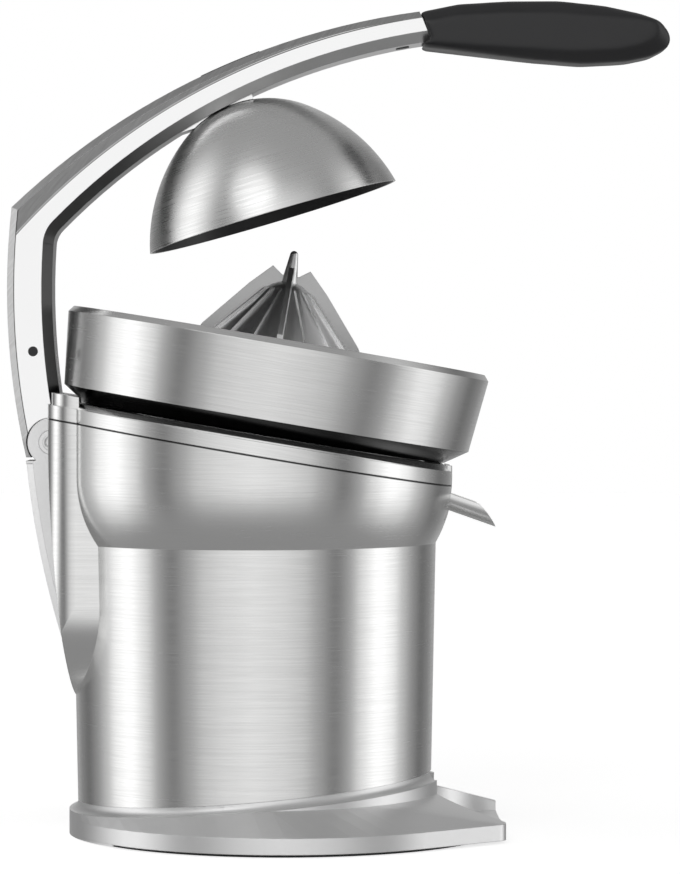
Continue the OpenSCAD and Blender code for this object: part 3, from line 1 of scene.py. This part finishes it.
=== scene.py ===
import json
import math
import bpy
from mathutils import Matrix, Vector


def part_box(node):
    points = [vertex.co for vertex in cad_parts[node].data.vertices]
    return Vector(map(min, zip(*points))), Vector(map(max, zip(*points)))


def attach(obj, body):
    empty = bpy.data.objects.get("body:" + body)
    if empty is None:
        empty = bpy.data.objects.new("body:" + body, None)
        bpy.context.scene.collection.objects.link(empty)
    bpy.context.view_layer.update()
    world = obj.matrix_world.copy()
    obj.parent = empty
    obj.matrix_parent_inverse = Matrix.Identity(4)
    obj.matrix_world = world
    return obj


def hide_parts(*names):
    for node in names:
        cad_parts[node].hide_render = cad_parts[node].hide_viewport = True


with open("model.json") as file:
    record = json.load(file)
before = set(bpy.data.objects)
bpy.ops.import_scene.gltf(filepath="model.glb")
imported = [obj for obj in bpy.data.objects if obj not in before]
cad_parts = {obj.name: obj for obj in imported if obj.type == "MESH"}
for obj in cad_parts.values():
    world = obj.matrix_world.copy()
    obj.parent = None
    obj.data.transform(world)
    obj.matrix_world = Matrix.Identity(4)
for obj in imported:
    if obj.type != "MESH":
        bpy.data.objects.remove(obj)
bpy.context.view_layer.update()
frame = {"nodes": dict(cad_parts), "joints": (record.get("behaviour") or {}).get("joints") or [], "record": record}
print("frame loaded:", len(frame["nodes"]), "nodes")

# the deck, bowl, reamer and drive lean forward on one axis
spin = next(j for j in frame["joints"] if j["name"] == "hub_spin")
deckAxis = Vector(spin["axis"]).normalized()
deckFoot = Vector(spin["pos_m"])
deckLean = math.atan2(deckAxis.x, deckAxis.z)


# a node's inputs, each by its name or as i0, i1 and so on, from another node or as a plain value
def feed(tree, node, **values):
    for name, value in values.items():
        numbered = name[0] == "i" and name[1:].isdigit()
        socket = node.inputs[int(name[1:])] if numbered else node.inputs[name.replace("_", " ")]
        if isinstance(value, bpy.types.NodeSocket):
            tree.links.new(value, socket)
        else:
            socket.default_value = value


def put(tree, kind, settings=None, **values):
    node = tree.nodes.new(kind)
    for name, value in (settings or {}).items():
        setattr(node, name, value)
    feed(tree, node, **values)
    return node


def maths(tree, what, a, b=0.0):
    return put(tree, "ShaderNodeMath", {"operation": what}, i0=a, i1=b).outputs[0]


def vectorMaths(tree, what, a, b, result="Vector"):
    return put(tree, "ShaderNodeVectorMath", {"operation": what}, i0=a, i1=b).outputs[result]


def ease(tree, value, low, high, outLow=0.0, outHigh=1.0):  # smooth step between two values
    return put(tree, "ShaderNodeMapRange", {"interpolation_type": "SMOOTHSTEP"}, Value=value, From_Min=low,
               From_Max=high, To_Min=outLow, To_Max=outHigh).outputs[0]


def grey(value):
    return (value, value, value, 1)


def blendColour(tree, amount, low, high):
    return put(tree, "ShaderNodeMix", {"data_type": "RGBA"}, Factor=amount, i6=low, i7=high).outputs[2]


def placeAt(tree):  # where a point of the piece lies
    return put(tree, "ShaderNodeTexCoord").outputs["Object"]


def faceNormal(tree):
    return put(tree, "ShaderNodeNewGeometry").outputs["True Normal"]


def split(tree, vector):
    return put(tree, "ShaderNodeSeparateXYZ", Vector=vector).outputs


def alongDeck(tree, vector):  # how far a vector reaches along the leaning axis
    return vectorMaths(tree, "DOT_PRODUCT", vector, tuple(deckAxis), "Value")


# camera: nearly level, and almost square to the side of the press
shot = {"target": (0.046, 0, 0.212), "height": 0.242, "azimuth": -0.7, "distance": 1.96,
        "tallSide": 0.4702, "sensor": 36, "clip": (0.1, 50)}


def aim(thing):  # turn a camera or lamp to the middle of the shot
    thing.rotation_mode = "QUATERNION"
    thing.rotation_quaternion = (Vector(shot["target"]) - thing.location).to_track_quat("-Z", "Y")


def placeCamera():
    data = bpy.data.cameras.new("camera")
    camera = bpy.data.objects.new("camera", data)
    bpy.context.scene.collection.objects.link(camera)
    side = math.radians(shot["azimuth"])
    camera.location = (shot["target"][0] + shot["distance"] * math.sin(side),
                       -shot["distance"] * math.cos(side), shot["height"])
    aim(camera)
    data.sensor_width = shot["sensor"]
    data.lens = data.sensor_width * shot["distance"] / shot["tallSide"]
    data.clip_start, data.clip_end = shot["clip"]
    bpy.context.scene.camera = camera


# brightness of the room by direction, in degrees away from the camera's side, and by height:
# softboxes at both sides and a broad one at the camera
studio = {"strength": 1.45, "halfTurn": 180,
          "rounds": [(0, 0.66), (16, 0.6), (30, 0.5), (42, 0.28), (53, 0.12), (63, 0.26), (73, 0.64),
                     (86, 0.97), (98, 0.8), (110, 0.4), (122, 0.2), (134, 0.1), (146, 0.16), (160, 0.26),
                     (180, 0.4)],
          "top": 0.24, "topRise": (0.45, 0.85),
          "low": 0.2, "lowRise": (-0.62, -0.14)}


def lightRoom():  # the camera itself sees a white backdrop
    world = bpy.data.worlds.new("studio")
    bpy.context.scene.world = world
    world.use_nodes = True
    tree = world.node_tree
    tree.nodes.clear()
    parts = split(tree, put(tree, "ShaderNodeTexCoord").outputs["Generated"])
    turned = maths(tree, "ARCTAN2", parts["X"], maths(tree, "MULTIPLY", parts["Y"], -1.0))
    away = maths(tree, "DIVIDE", maths(tree, "ABSOLUTE", turned), math.pi)
    rounds = put(tree, "ShaderNodeValToRGB", Fac=away)
    ramp = rounds.color_ramp
    ramp.interpolation = "EASE"
    for angle, value in studio["rounds"][1:-1]:
        ramp.elements.new(angle / studio["halfTurn"]).color = grey(value)
    ramp.elements[0].color = grey(studio["rounds"][0][1])
    ramp.elements[-1].color = grey(studio["rounds"][-1][1])
    high = ease(tree, parts["Z"], *studio["topRise"])
    room = blendColour(tree, high, rounds.outputs["Color"], grey(studio["top"]))
    low = ease(tree, parts["Z"], *studio["lowRise"])
    room = blendColour(tree, low, grey(studio["low"]), room)
    lit = put(tree, "ShaderNodeBackground", Color=room, Strength=studio["strength"]).outputs[0]
    white = put(tree, "ShaderNodeBackground", Color=grey(1), Strength=1.0).outputs[0]
    seen = put(tree, "ShaderNodeLightPath").outputs["Is Camera Ray"]
    both = put(tree, "ShaderNodeMixShader", i0=seen, i1=lit, i2=white).outputs[0]
    put(tree, "ShaderNodeOutputWorld", Surface=both)


keyLamp = {"power": 3, "size": 1.2, "place": (-0.7, -1.3, 1.5)}


def hangLamp():
    data = bpy.data.lights.new("keyLamp", "AREA")
    data.shape = "DISK"
    data.size = keyLamp["size"]
    data.energy = keyLamp["power"]
    lamp = bpy.data.objects.new("keyLamp", data)
    bpy.context.scene.collection.objects.link(lamp)
    lamp.location = keyLamp["place"]
    aim(lamp)


paleFloor = {"radius": 6, "sides": 96, "lit": 0.85, "lift": 0.61}


def layFloor():  # takes the shadow, and doesn't show in the metal
    bpy.ops.mesh.primitive_circle_add(vertices=paleFloor["sides"], radius=paleFloor["radius"],
                                      fill_type="NGON", location=(0, 0, 0))
    floor = bpy.context.object
    floor.name = "floor"
    material = bpy.data.materials.new("paleFloor")
    material.use_nodes = True
    tree = material.node_tree
    tree.nodes.clear()
    matt = put(tree, "ShaderNodeBsdfDiffuse", Color=grey(paleFloor["lit"])).outputs[0]
    seen = put(tree, "ShaderNodeLightPath").outputs["Is Camera Ray"]
    lift = maths(tree, "MULTIPLY", seen, paleFloor["lift"])
    glow = put(tree, "ShaderNodeEmission", Color=grey(1), Strength=lift).outputs[0]
    both = put(tree, "ShaderNodeAddShader", i0=matt, i1=glow).outputs[0]
    put(tree, "ShaderNodeOutputMaterial", Surface=both)
    floor.data.materials.append(material)
    floor.visible_glossy = False


# shared effects; fine and cloud are the scale, detail and roughness of a noise
def makeGroup(name, inputs, outputs):
    group = bpy.data.node_groups.new(name, "ShaderNodeTree")
    for label, kind in inputs.items():
        group.interface.new_socket(label, in_out="INPUT", socket_type=kind)
    for label in outputs:
        group.interface.new_socket(label, in_out="OUTPUT", socket_type="NodeSocketFloat")
    return group, put(group, "NodeGroupInput").outputs


def noise(group, place, scale, detail, roughness):
    return put(group, "ShaderNodeTexNoise", Vector=place, Scale=scale, Detail=detail,
               Roughness=roughness).outputs[0]


brushMarks = {"fine": (1.0, 4.0, 0.7), "cloud": (22.0, 2.0, 0.5), "lineFrom": (0.25, 0.75)}


def brushLinesGroup():  # fine lines along a brushed surface, long in one plane and thin across it
    group, given = makeGroup("brushLines", {"Vector": "NodeSocketVector", "Along": "NodeSocketFloat",
                                            "Across": "NodeSocketFloat"}, ("Lines", "Cloud"))
    stretch = put(group, "ShaderNodeCombineXYZ", X=given["Along"], Y=given["Along"],
                  Z=given["Across"]).outputs[0]
    place = vectorMaths(group, "MULTIPLY", given["Vector"], stretch)
    fine = noise(group, place, *brushMarks["fine"])
    cloud = noise(group, given["Vector"], *brushMarks["cloud"])
    put(group, "NodeGroupOutput", Lines=ease(group, fine, *brushMarks["lineFrom"]), Cloud=cloud)
    return group


grainMarks = {"fine": (3.0, 0.6), "cloud": (30.0, 3.0, 0.55)}  # each finish gives the scale of its fine grain


def castGrainGroup():  # soft mottle and a fine grain of a cast or moulded surface
    group, given = makeGroup("castGrain", {"Vector": "NodeSocketVector", "Size": "NodeSocketFloat"},
                             ("Grain", "Cloud"))
    fine = noise(group, given["Vector"], given["Size"], *grainMarks["fine"])
    cloud = noise(group, given["Vector"], *grainMarks["cloud"])
    put(group, "NodeGroupOutput", Grain=fine, Cloud=cloud)
    return group


groups = {"brush": brushLinesGroup(), "grain": castGrainGroup()}


def useGroup(tree, key, **values):
    return put(tree, "ShaderNodeGroup", {"node_tree": groups[key]}, **values).outputs


def startMaterial(name, metallic, ior=1.5):
    material = bpy.data.materials.new(name)
    material.use_nodes = True
    tree = material.node_tree
    tree.nodes.clear()
    shader = put(tree, "ShaderNodeBsdfPrincipled", Metallic=metallic, IOR=ior)
    put(tree, "ShaderNodeOutputMaterial", Surface=shader.outputs[0])
    return material, tree, shader


edgeSamples = 4


def softEdges(tree, look):
    return put(tree, "ShaderNodeBevel", {"samples": edgeSamples}, Radius=look["edge"]).outputs[0]


def relief(tree, look, height):  # soft edges with a fine relief
    return put(tree, "ShaderNodeBump", Height=height, Strength=look["bump"], Distance=look["deep"],
               Normal=softEdges(tree, look)).outputs[0]


# steel with fine lines round an upright or leaning axis
def brushedSteel(name, look):
    material, tree, shader = startMaterial(name, metallic=1.0)
    place = put(tree, "ShaderNodeMapping", Vector=placeAt(tree),
                Rotation=(0, -look["lean"], 0)).outputs[0]
    marks = useGroup(tree, "brush", Vector=place, Along=look["along"], Across=look["across"])
    lines = maths(tree, "MULTIPLY", marks["Lines"], look["lines"])
    shade = maths(tree, "ADD", lines, maths(tree, "MULTIPLY", marks["Cloud"], 1 - look["lines"]))
    colour = blendColour(tree, shade, look["dark"], look["light"])
    if "seam" in look:  # shade in the groove under the trim ring
        off = vectorMaths(tree, "SUBTRACT", placeAt(tree), tuple(deckFoot))
        away = maths(tree, "ABSOLUTE", maths(tree, "SUBTRACT", alongDeck(tree, off), look["seam"]))
        groove = ease(tree, away, *look["seamEdge"], 1.0, 0.0)
        colour = blendColour(tree, groove, colour, look["seamShade"])
    if "under" in look:  # the underside lies in the shade of the narrow gap over the deck
        hidden = ease(tree, alongDeck(tree, faceNormal(tree)), *look["under"], 1.0, 0.0)
        colour = blendColour(tree, hidden, colour, look["underShade"])
    around = put(tree, "ShaderNodeTangent", {"direction_type": "RADIAL", "axis": "Z"}).outputs[0]
    feed(tree, shader, Base_Color=colour, Roughness=ease(tree, shade, 0.0, 1.0, *look["rough"]),
         Anisotropic=look["pull"], Anisotropic_Rotation=look["pullTurn"], Tangent=around,
         Normal=relief(tree, look, marks["Lines"]))
    return material


# cast or polished metal with a fine grain
def grainedMetal(name, look):
    material, tree, shader = startMaterial(name, metallic=1.0)
    marks = useGroup(tree, "grain", Vector=placeAt(tree), Size=look["size"])
    colour = blendColour(tree, marks["Cloud"], look["dark"], look["light"])
    if "flat" in look:  # faces that look across the part are darker, as painted shade
        facing = maths(tree, "ABSOLUTE", split(tree, faceNormal(tree))["Y"])
        colour = blendColour(tree, ease(tree, facing, *look["flatFrom"]), colour, look["flat"])
    feed(tree, shader, Base_Color=colour,
         Roughness=ease(tree, marks["Grain"], *look["roughFrom"], *look["rough"]),
         Normal=relief(tree, look, marks["Grain"]))
    return material


def distanceFrom(tree, parts, centre):  # measured in the side view
    x = maths(tree, "SUBTRACT", parts["X"], centre[0])
    z = maths(tree, "SUBTRACT", parts["Z"], centre[1])
    squares = maths(tree, "ADD", maths(tree, "MULTIPLY", x, x), maths(tree, "MULTIPLY", z, z))
    return maths(tree, "SQRT", squares)


# the arm: polished sides, a dull brushed band along its outer edge painted dark as shade, a painted shade line
# under it, brushed edges painted darker than the sides as shade, and painted shade on the inner edges that
# lightens as X grows
def armMetal(name, look):
    material, tree, shader = startMaterial(name, metallic=1.0)
    place = placeAt(tree)
    across = put(tree, "ShaderNodeMapping", Vector=place, Rotation=(0, look["turn"], 0)).outputs[0]
    lines = useGroup(tree, "brush", Vector=across, Along=look["along"], Across=look["across"])["Lines"]
    parts = split(tree, place)
    facing = split(tree, faceNormal(tree))
    side = ease(tree, maths(tree, "ABSOLUTE", facing["Y"]), *look["sideFrom"])
    # painted shade: a band outside each arc, and a darker shade line just inside each arc
    band, line = 0.0, 0.0
    for centre, radius in look["bands"]:
        out = distanceFrom(tree, parts, centre)
        beyond = ease(tree, out, radius - look["soft"], radius + look["soft"])
        band = maths(tree, "MAXIMUM", band, beyond)
        off = maths(tree, "ABSOLUTE", maths(tree, "SUBTRACT", out, radius - look["line"]))
        line = maths(tree, "MAXIMUM", line, ease(tree, off, 0.0, look["line"], 1.0, 0.0))
    # the band: brushed lines, painted dark as shade
    brushedBandShade = blendColour(tree, lines, look["bandDark"], look["bandLight"])
    flat = blendColour(tree, band, look["side"], brushedBandShade)
    flat = blendColour(tree, line, flat, look["shadeLineColour"])
    # painted shade on faces that look down or along +X, lighter as X grows
    inward = maths(tree, "MAXIMUM", maths(tree, "MULTIPLY", facing["Z"], -1.0), facing["X"])
    fade = ease(tree, parts["X"], *look["innerRun"])
    under = blendColour(tree, fade, look["inner"], look["innerLight"])
    # brushed edges, painted darker than the sides as shade
    brushed = blendColour(tree, lines, look["edgeDark"], look["edgeLight"])
    edge = blendColour(tree, ease(tree, inward, *look["innerFrom"]), brushed, under)
    feed(tree, shader, Base_Color=blendColour(tree, side, edge, flat),
         Roughness=ease(tree, side, 0.0, 1.0, *look["rough"]), Normal=softEdges(tree, look))
    return material


# moulded plastic and rubber
def moulded(name, look):
    material, tree, shader = startMaterial(name, metallic=0.0, ior=look["ior"])
    marks = useGroup(tree, "grain", Vector=placeAt(tree), Size=look["size"])
    feed(tree, shader, Base_Color=blendColour(tree, marks["Cloud"], look["dark"], look["light"]),
         Roughness=ease(tree, marks["Cloud"], *look["roughFrom"], *look["rough"]),
         Normal=relief(tree, look, marks["Grain"]))
    return material


steel = {"lean": 0.0, "along": 26.0, "across": 1500.0, "lines": 0.8, "dark": (0.78, 0.78, 0.775, 1),
         "light": (0.84, 0.84, 0.835, 1), "rough": (0.28, 0.18), "pull": 0.5, "pullTurn": 0.25,
         "edge": 0.0004, "bump": 0.03, "deep": 0.0001}
seam = {"seam": -0.0076, "seamEdge": (0.0003, 0.0006), "seamShade": grey(0.09)}  # height over the deck
leaning = {"lean": deckLean}
bowl = {"under": (-0.7, -0.45), "underShade": grey(0.03)}
dome = {"lean": -0.29, "pull": 0.3, "rough": (0.36, 0.24)}
cast = {"size": 1400.0, "dark": grey(0.68), "light": grey(0.8), "rough": (0.24, 0.34),
        "roughFrom": (0.3, 0.7), "edge": 0.0006, "bump": 0.05, "deep": 0.0001}
paleCast = {"rough": (0.34, 0.44), "dark": grey(0.82), "light": grey(0.9)}
# the cone: faces that look along Y get painted shade
cone = {"rough": (0.3, 0.4), "dark": grey(0.9), "light": grey(0.96), "flat": grey(0.5),
        "flatFrom": (0.9, 0.97)}
bright = {"rough": (0.16, 0.26)}
yellow = {"dark": (0.6, 0.44, 0.2, 1), "light": (0.76, 0.58, 0.3, 1)}
iron = {"dark": (0.3, 0.3, 0.31, 1), "light": (0.42, 0.42, 0.43, 1), "rough": (0.4, 0.55)}
plastic = {"ior": 1.5, "size": 2200.0, "dark": (0.012, 0.012, 0.013, 1), "light": (0.022, 0.022, 0.024, 1),
           "rough": (0.34, 0.46), "roughFrom": (0.2, 0.8), "edge": 0.0004, "bump": 0.15, "deep": 0.0002}
soft = {"rough": (0.6, 0.75)}
red = {"dark": (0.5, 0.03, 0.02, 1), "light": (0.62, 0.05, 0.03, 1)}
# the brushed band with its painted shade lies outside two arcs, along the arm and its leg: centre in the side
# view, and radius
arm = {"side": grey(0.97), "sideFrom": (0.9, 0.98), "bandDark": grey(0.19), "bandLight": grey(0.29),
       "bands": [((0.1417, 0.07874), 0.36145), ((0.26638, 0.29039), 0.3949)], "soft": 0.0002,
       "line": 0.0005, "shadeLineColour": grey(0.03), "edgeDark": grey(0.42), "edgeLight": grey(0.6),
       "inner": grey(0.13), "innerLight": grey(0.72), "innerRun": (-0.08, 0.07), "innerFrom": (0.12, 0.2),
       "turn": 0.9, "along": 60.0, "across": 1800.0, "rough": (0.3, 0.16), "edge": 0.0004}

finishes = {
    "brushed_steel": brushedSteel("brushedSteel", {**steel, **seam}),
    "leaning_steel": brushedSteel("leaningSteel", {**steel, **seam, **leaning}),
    "bowl_steel": brushedSteel("bowlSteel", {**steel, **leaning, **bowl}),
    "satin_steel": brushedSteel("satinSteel", {**steel, **dome}),
    "cast_metal": grainedMetal("castMetal", {**cast, **paleCast}),
    "polished_arm": armMetal("polishedArm", arm),
    "polished_cone": grainedMetal("polishedCone", {**cast, **cone}),
    "black_plastic": moulded("blackPlastic", plastic),
    "rubber": moulded("rubber", {**plastic, **soft}),
    "hardware": grainedMetal("hardwareSteel", {**cast, **bright}),
    "brass": grainedMetal("brass", {**cast, **yellow}),
    "motor_iron": grainedMetal("motorIron", {**cast, **iron}),
    "red_plastic": moulded("redPlastic", {**plastic, **red}),
}


def dressNodes():
    own = {"juice_bowl": "bowl_steel", "strainer": "leaning_steel", "trim_ring": "leaning_steel",
           "bowl_spout": "leaning_steel"}
    slots = {s["node"]: s["material_slot"] for s in frame["record"]["subparts"]}
    for name, node in frame["nodes"].items():
        node.data.materials.clear()
        node.data.materials.append(finishes[own.get(name, slots[name])])
    print("finishes on the packed nodes")


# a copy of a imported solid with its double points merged, to be shaped further
def copyOf(node, name, merge):
    bpy.ops.object.select_all(action="DESELECT")
    piece = frame["nodes"][node].copy()
    piece.data = piece.data.copy()
    piece.name = name
    bpy.context.scene.collection.objects.link(piece)
    bpy.context.view_layer.objects.active = piece
    piece.select_set(True)
    bpy.ops.object.mode_set(mode="EDIT")
    bpy.ops.mesh.select_all(action="SELECT")
    bpy.ops.mesh.remove_doubles(threshold=merge)
    bpy.ops.object.mode_set(mode="OBJECT")
    return piece


def applyModifier(piece, kind, **values):
    modifier = piece.modifiers.new(kind.lower(), kind)
    for name, value in values.items():
        setattr(modifier, name, value)
    bpy.ops.object.modifier_apply(modifier=modifier.name)


# soft moulded grip in place of the plain solid
grip = {"node": "hand_grip", "merge": 0.00002, "voxel": 0.0011, "passes": 26, "amount": 0.6}


def softenGrip():
    piece = copyOf(grip["node"], "grip_soft", grip["merge"])
    applyModifier(piece, "REMESH", mode="VOXEL", voxel_size=grip["voxel"])
    applyModifier(piece, "SMOOTH", factor=grip["amount"], iterations=grip["passes"])
    bpy.ops.object.shade_smooth()
    piece.data.materials.clear()
    piece.data.materials.append(finishes["black_plastic"])
    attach(piece, "arm")
    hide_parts(grip["node"])
    print("grip:", len(piece.data.vertices), "vertices")


# round caps on both ends of the knee pin, each with a shallow ring groove in its face
caps = {"sides": 48, "radius": 0.0044, "height": 0.0007, "edge": 0.0002, "edgeSteps": 2, "rim": 0.0008,
        "grooveWidth": 0.0005, "grooveDepth": 0.0003, "outward": 0.9, "flatOut": 0.999}


# in edit mode, select the faces that look to one side along Y
def pickFaces(piece, side, least):
    bpy.ops.object.mode_set(mode="OBJECT")
    for face in piece.data.polygons:
        face.select = face.normal.y * side > least
    bpy.ops.object.mode_set(mode="EDIT")


def capKneePin():
    knee = next(j for j in frame["joints"] if j["name"] == "knee_turn")["pos_m"]
    low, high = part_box("knee_pin")
    for side, end in ((-1, low.y), (1, high.y)):
        bpy.ops.object.select_all(action="DESELECT")
        middle = (knee[0], end + side * caps["height"] / 2, knee[2])
        bpy.ops.mesh.primitive_cylinder_add(vertices=caps["sides"], radius=caps["radius"],
                                            depth=caps["height"], rotation=(math.pi / 2, 0, 0),
                                            location=middle)
        piece = bpy.context.object
        piece.name = "knee_cap_" + ("left" if side > 0 else "right")
        bpy.ops.object.transform_apply(location=True, rotation=True, scale=True)
        bpy.ops.object.mode_set(mode="EDIT")
        bpy.ops.mesh.select_mode(type="FACE")
        pickFaces(piece, side, caps["outward"])
        bpy.ops.mesh.bevel(offset=caps["edge"], segments=caps["edgeSteps"])
        pickFaces(piece, side, caps["flatOut"])
        bpy.ops.mesh.inset(thickness=caps["rim"])
        bpy.ops.mesh.inset(thickness=caps["grooveWidth"], depth=-caps["grooveDepth"])
        bpy.ops.mesh.inset(thickness=caps["grooveWidth"], depth=caps["grooveDepth"])
        bpy.ops.object.mode_set(mode="OBJECT")
        piece.data.materials.append(finishes["hardware"])
        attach(piece, "link")
    print("knee caps: 2")


placeCamera()
lightRoom()
hangLamp()
layFloor()
print("camera, room and floor placed")
dressNodes()
softenGrip()
capKneePin()

bpy.context.scene.view_settings.view_transform = "Standard"
